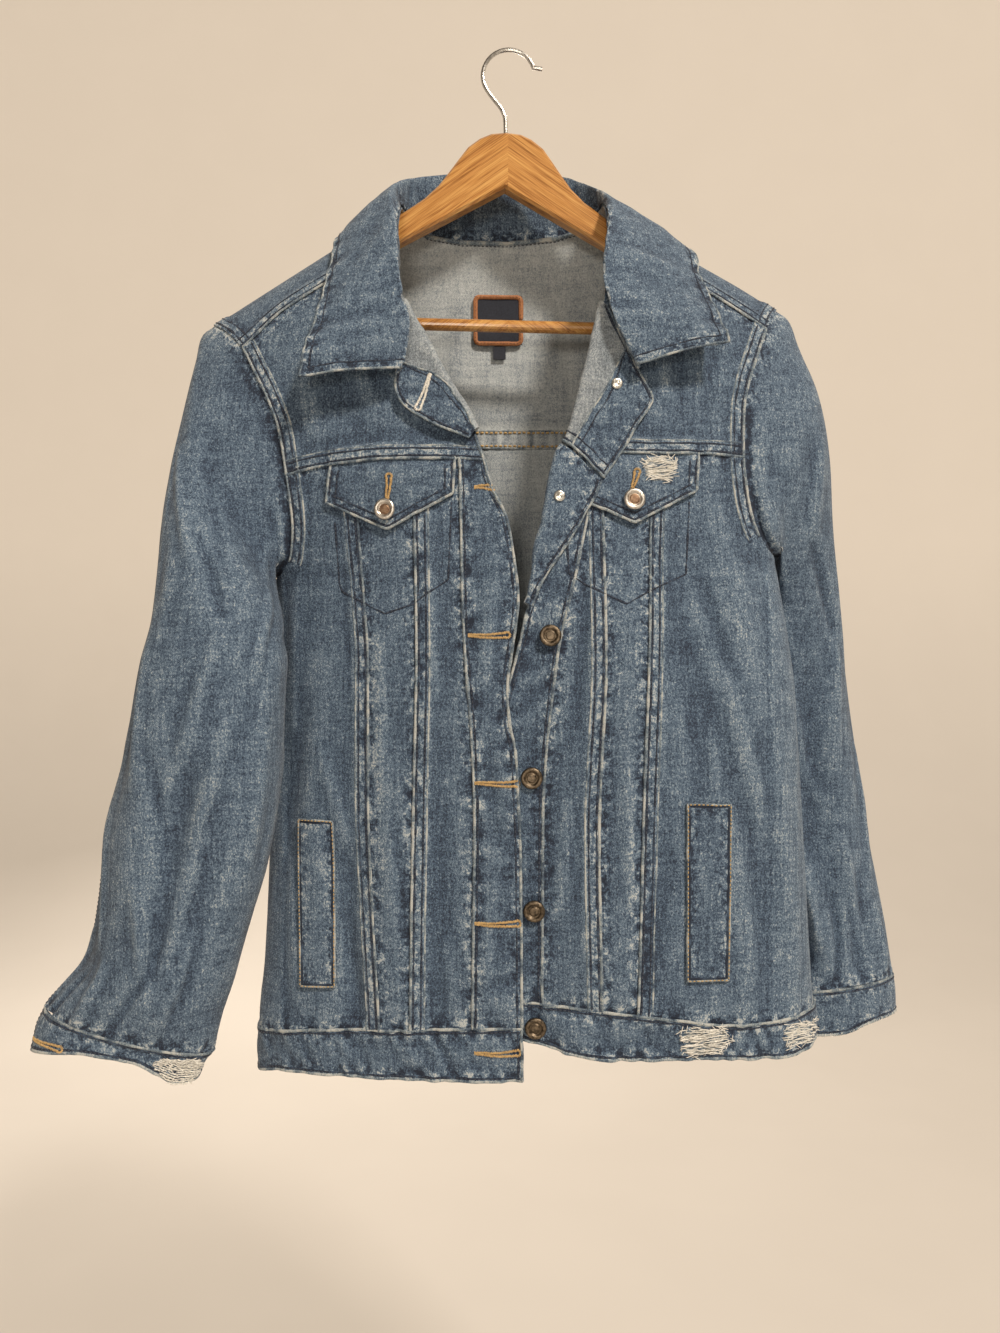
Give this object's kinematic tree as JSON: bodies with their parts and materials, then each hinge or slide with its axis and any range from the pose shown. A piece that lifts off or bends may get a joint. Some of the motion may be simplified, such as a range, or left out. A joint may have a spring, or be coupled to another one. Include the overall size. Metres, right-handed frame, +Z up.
{
  "type": "denim jacket on a wooden hanger",
  "caption": "Button-front denim jacket with chest flaps, slant seams and turned back lapels, hanging open on a wooden hanger with a bar and a wire hook.",
  "frame": {"origin": "inside of the hook's crown, where a rail or a wall hook holds the hanger", "axes": "+Z up, -Y the way the front faces, +X to the right as seen from the front"},
  "size_m": [0.6942, 0.1655, 0.8344],
  "materials": {
    "denim": "washed denim",
    "label": "woven",
    "wood": "varnished",
    "steel": "polished wire",
    "bronze": "aged",
    "copper": "satin",
    "nickel": "satin"
  },
  "bodies": {
    "root": {"back_panel": "denim", "back_yoke": "denim", "button_3": "bronze", "button_4": "bronze", "button_5": "bronze", "button_6": "bronze", "collar": "denim", "cuff_button_l": "bronze", "cuff_button_r": "bronze", "cuff_l": "denim", "cuff_r": "denim", "facing_l": "denim", "facing_lower_r": "denim", "facing_upper_r": "denim", "flap_button_l": "copper", "flap_button_r": "copper", "flap_l": "denim", "flap_r": "denim", "front_centre_l": "denim", "front_centre_r": "denim", "front_middle_l": "denim", "front_middle_r": "denim", "front_side_l": "denim", "front_side_r": "denim", "front_yoke_l": "denim", "front_yoke_r": "denim", "hanger_bar": "wood", "hanger_hook_wire": "steel", "hanger_wood": "wood", "hem_band_back": "denim", "hem_band_l": "denim", "hem_band_r": "denim", "neck_label": "label", "placket_l": "denim", "placket_r": "denim", "rivet_1": "nickel", "rivet_2": "nickel", "size_tab": "label", "top_sleeve_l": "denim", "top_sleeve_r": "denim", "under_sleeve_l": "denim", "under_sleeve_r": "denim", "welt_l": "denim", "welt_r": "denim"}
  },
  "joints": []
}
